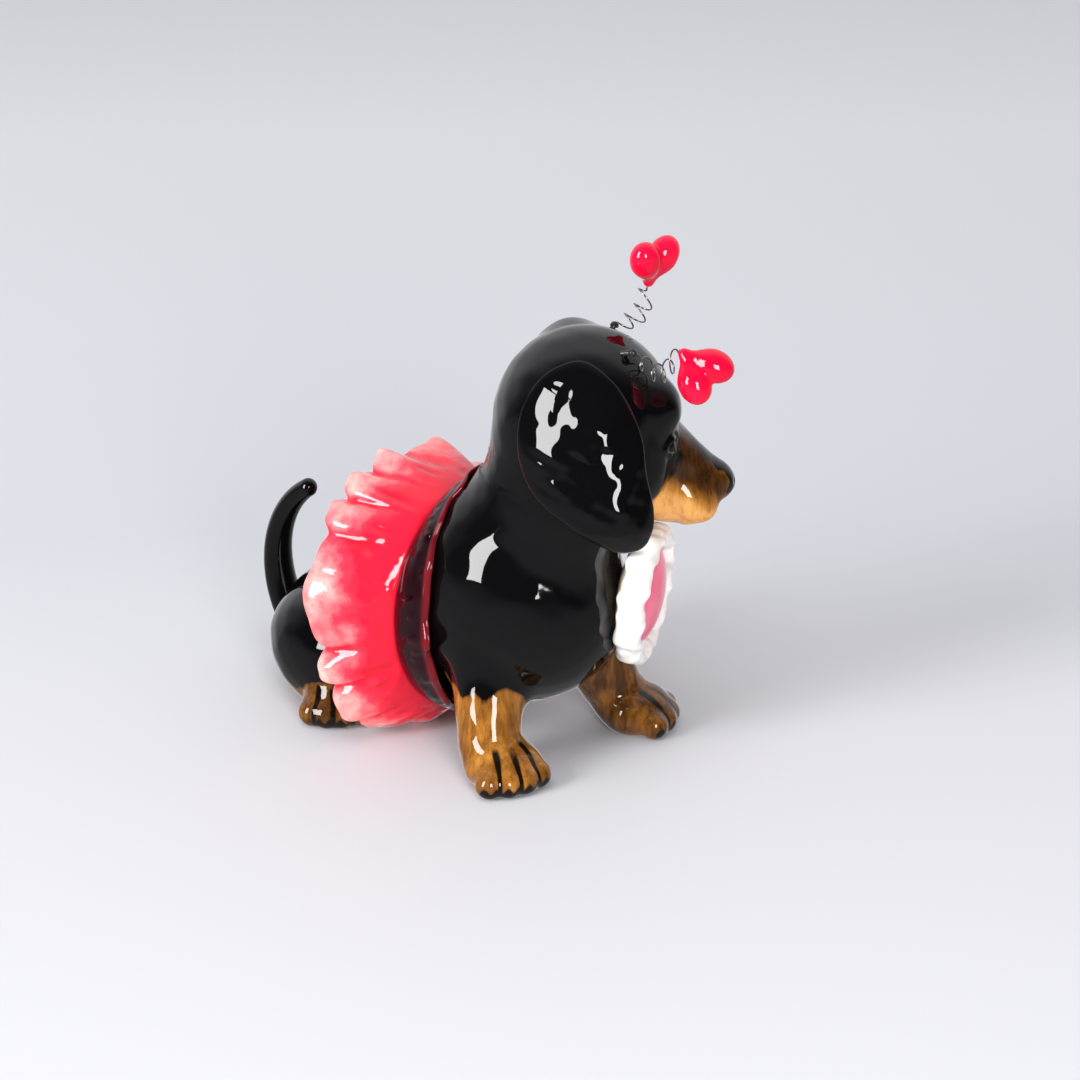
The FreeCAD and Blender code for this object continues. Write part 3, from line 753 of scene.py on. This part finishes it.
def waistband():
    """A gathered band round the waist, smooth behind and with a wavy lip in front."""
    random = np.random.default_rng(11)
    around, section = 720, 64
    turn = np.linspace(0, 2 * math.pi, around, endpoint=False)[:, None]
    side = np.linspace(0, 2 * math.pi, section, endpoint=False)[None, :]
    front = (1 - np.cos(side)) / 2
    drift = 0.12 * np.sin(4 * turn) + 0.07 * np.sin(9 * turn + 1)
    ripple = front ** 2 * (0.5 * np.sin(10 * (turn + drift)) + 0.25 * np.sin(19 * turn + 1.7))
    dents = creases(random, 50, turn, front, 0.8, 0.035, (0.2, 0.6), (0.15, 0.4))
    swell = 1.9 * np.sin(side) + 0.6 * dents * (np.sin(side) > 0) + ripple
    lip = smoothstep(0.80, 0.93, front) * (1 + 0.4 * np.sin(8 * (turn + drift)))
    rx = 31.6 + swell + 1.1 * lip
    rz = 35.0 + swell + 3.2 * front + 1.1 * lip
    y = -(9.4 + 5 * np.cos(turn) ** 2 + 1.6 * ripple) * front
    points = np.stack((rx * np.cos(turn), y, rz * np.sin(turn) + 4.7 * front), axis=-1)
    points = points + np.array((0, BAND_REAR, SKIRT_WAIST[2]))
    masks = {"lip": smoothstep(0.72, 0.95, front + 0.06 * ripple)}
    item = made("waistband_ruffle", points.reshape(-1, 3), ring_faces(around, section, True), masks)
    return worn(item, "figurine", "band_glaze", BAND, "waistband")


# ---------------------------------------------------------------- plaque

def plaque():
    """A lumpy white trim round a domed pink face, on a bare slab."""
    around, section = 420, 40
    turn = np.linspace(0, 2 * math.pi, around, endpoint=False)[:, None]
    side = np.linspace(0, 2 * math.pi, section, endpoint=False)[None, :]
    wave = 0.55 * np.sin(11 * turn + 0.8 * np.sin(3 * turn)) + 0.2 * np.sin(19 * turn + 2)
    lumps = 0.2 * np.sin(13 * turn + 2 * side) + 0.1 * np.sin(23 * turn - 3 * side + 1)
    out = (2.9 + lumps) * np.cos(side)
    deep = (4.3 + lumps) * np.sin(side)
    ring = np.stack(((15 + out + wave) * np.cos(turn), deep + wave / 2, (19 + out + wave) * np.sin(turn)),
                    axis=-1)
    trim = made("plaque_trim_ruffle", PLAQUE.out(ring.reshape(-1, 3)), ring_faces(around, section, True))
    worn(trim, "figurine", "trim_glaze", TRIM, "plaque_trim")
    dome = Clay()
    dome.add(ellipsoid(PLAQUE, (0, 2.2, 0), (13.6, 7.8, 17.4)))
    dome.add(ellipsoid(PLAQUE, (0, 2.2 + 60, 0), (60, 60, 60)), 0.6, carve=True)
    worn(made("plaque_dome", *dome.meshed(0.55)), "figurine", "face_glaze", FACE, "plaque_face")
    slab = Clay()
    slab.add(ellipsoid(PLAQUE, (0, 1.6, 0), (15.4, 6.0, 20.0)))
    slab.add(ellipsoid(PLAQUE, (0, -58.5, 0), (60, 60, 60)), 0.6, carve=True)
    worn(made("plaque_slab", *slab.meshed(0.55)), "figurine", "backing_clay", BACKING, "plaque_back")


# ---------------------------------------------------------------- springs and hearts

def spring(name, sag, loops):
    """A soft coil of wire from its root on the head to the heart's point, sagging on its way."""
    start, end = roots[name], joint_point(f"heart_{name}_nod")
    count = 420
    share = np.linspace(0, 1, count)
    along = (end - start) / np.linalg.norm(end - start)
    down = np.array((0, 0, -1.0))
    down -= along * (down @ along)
    down /= np.linalg.norm(down)
    beside = np.cross(along, down)
    coiled = smoothstep(0.04, 0.16, share) * smoothstep(0.98, 0.84, share)
    turn = 2 * math.pi * loops * np.clip((share - 0.04) / 0.9, 0, 1)
    wide = 2.8 * coiled
    bow = sag * np.sin(math.pi * share) ** 1.2
    path = (start + share[:, None] * (end - start) + (bow - wide * np.cos(turn))[:, None] * down
            + (wide * np.sin(turn))[:, None] * beside)
    item = made(f"spring_coil_{name}", *tube(path, 0.24, 10))
    item.data.materials.append(WIRE)
    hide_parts(f"antenna_spring_{name}")
    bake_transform(item)


def heart(name):
    """Two plump lobes that run together into one point, where the wire goes in."""
    point = joint_point(f"heart_{name}_nod")
    mesh = frame["nodes"][f"heart_{name}"].data
    cloud = np.empty(len(mesh.vertices) * 3)
    mesh.vertices.foreach_get("co", cloud)
    cloud = cloud.reshape(-1, 3) / MM
    up = cloud.mean(axis=0) - point
    up /= np.linalg.norm(up)
    spread = cloud - cloud.mean(axis=0)
    spread -= np.outer(spread @ up, up)
    wide = np.linalg.svd(spread, full_matrices=False)[2][0]
    local = Place(point, np.stack((wide, np.cross(up, wide), up), axis=1))
    clay = Clay()
    for side in (-1, 1):
        clay.add(ellipsoid(local, (3.7 * side, 0, 9.8), (4.7, 4.4, 5.9), 0, 24 * side), 1.2)
        clay.add(limb(local, (3.0 * side, 0, 8.2), (0, 0, 1.6), 3.7, 1.3), 1.6)
    item = made(f"heart_glazed_{name}", *clay.meshed(0.45))
    worn(item, f"heart_{name}", "heart_glaze", HEART, f"heart_{name}")


# ---------------------------------------------------------------- studio

def softbox(name, spot, target, size, power, seen=True):
    """A rectangular light. One that isn't seen leaves no patch in the glaze."""
    light = bpy.data.lights.new(name, "AREA")
    light.shape, light.size, light.size_y = "RECTANGLE", size[0], size[1]
    light.energy = power
    item = bpy.data.objects.new(name, light)
    item.location = spot
    item.rotation_euler = (Vector(target) - Vector(spot)).to_track_quat("-Z", "Y").to_euler()
    item.visible_glossy = seen
    bpy.context.collection.objects.link(item)


FLOOR_REACH = 9000.0
# What the camera looks at, from the middle of the CAD box; the side it stands on; and how far off.
CAMERA_AIM, CAMERA_SIDE, CAMERA_REACH = (0.0321, -0.0027, -0.0278), (-0.7103, -0.5960, 0.3746), 0.84


def studio():
    """Pale floor, soft lights, and a room that the glaze reflects: light ahead, dark behind the camera."""
    low, high = (Vector(corner) for corner in CAD_BOX)
    centre = (low + high) / 2
    aim = centre + Vector(CAMERA_AIM)
    toward = Vector(CAMERA_SIDE).normalized()
    camera = bpy.data.cameras.new("camera")
    camera.lens, camera.sensor_width = 89.6, 36.0
    camera.clip_end = 50
    viewer = bpy.data.objects.new("camera", camera)
    viewer.location = aim + toward * CAMERA_REACH
    viewer.rotation_euler = (-toward).to_track_quat("-Z", "Y").to_euler()
    bpy.context.collection.objects.link(viewer)
    bpy.context.scene.camera = viewer

    corners = np.array(((-1, -1, 0), (1, -1, 0), (1, 1, 0), (-1, 1, 0))) * FLOOR_REACH
    floor = made("floor", corners, [(0, 1, 2, 3)])
    floor.data.materials.append(glaze("floor_paper", paper_colour, 0.6))
    floor.visible_glossy = False

    left = Vector((-0.92, 0.22, 0.34)).normalized()
    front = Vector((-0.55, -0.80, 0.24)).normalized()
    softbox("left_softbox", centre + left * 1.7, centre, (0.56, 1.16), 33)
    softbox("front_softbox", centre + front * 1.1, centre, (0.28, 0.44), 7.0)
    softbox("overhead", centre + Vector((-0.5, -0.3, 1.5)), centre, (1.1, 1.1), 9.5, seen=False)

    world = bpy.data.worlds.new("studio")
    bpy.context.scene.world = world
    world.use_nodes = True
    nodes, links = world.node_tree.nodes, world.node_tree.links
    place = nodes.new("ShaderNodeTexCoord")
    away = nodes.new("ShaderNodeVectorMath")
    away.operation = "DOT_PRODUCT"
    away.inputs[1].default_value = (*AHEAD, 0.40)
    height = nodes.new("ShaderNodeSeparateXYZ")
    links.new(place.outputs["Generated"], away.inputs[0])
    links.new(place.outputs["Generated"], height.inputs[0])
    backdrop = ramp(nodes, links, summed(nodes, links, (away.outputs["Value"], 0.5), 0.5),
                    (0.50, (0.006, 0.006, 0.007)), (0.66, (0.18, 0.18, 0.19)), (0.84, (0.78, 0.78, 0.81)))
    below = ramp(nodes, links, summed(nodes, links, (height.outputs["Z"], 0.5), 0.5),
                 (0.1, (0.30, 0.30, 0.31)), (0.42, (0.22, 0.22, 0.23)), (0.52, (0, 0, 0)))
    ray = nodes.new("ShaderNodeLightPath")
    room = mixed(nodes, links, 1.0, backdrop, below, "LIGHTEN")
    links.new(mixed(nodes, links, ray.outputs["Is Glossy Ray"], (0.60, 0.60, 0.62), room),
              nodes["Background"].inputs["Color"])
    nodes["Background"].inputs["Strength"].default_value = 1.0
    bpy.context.scene.view_settings.view_transform = "Standard"
    bpy.context.scene.view_settings.look = "None"


studio()
glazed_body()
for label, sign in SIDES.items():
    ear(label, sign)
tail()
skirt()
waistband()
plaque()
spring("right", 6.5, 4.3)
spring("left", 4.0, 3.4)
for label in SIDES:
    heart(label)
    frame["nodes"][f"wire_anchor_{label}"].material_slots[0].material = GLUE
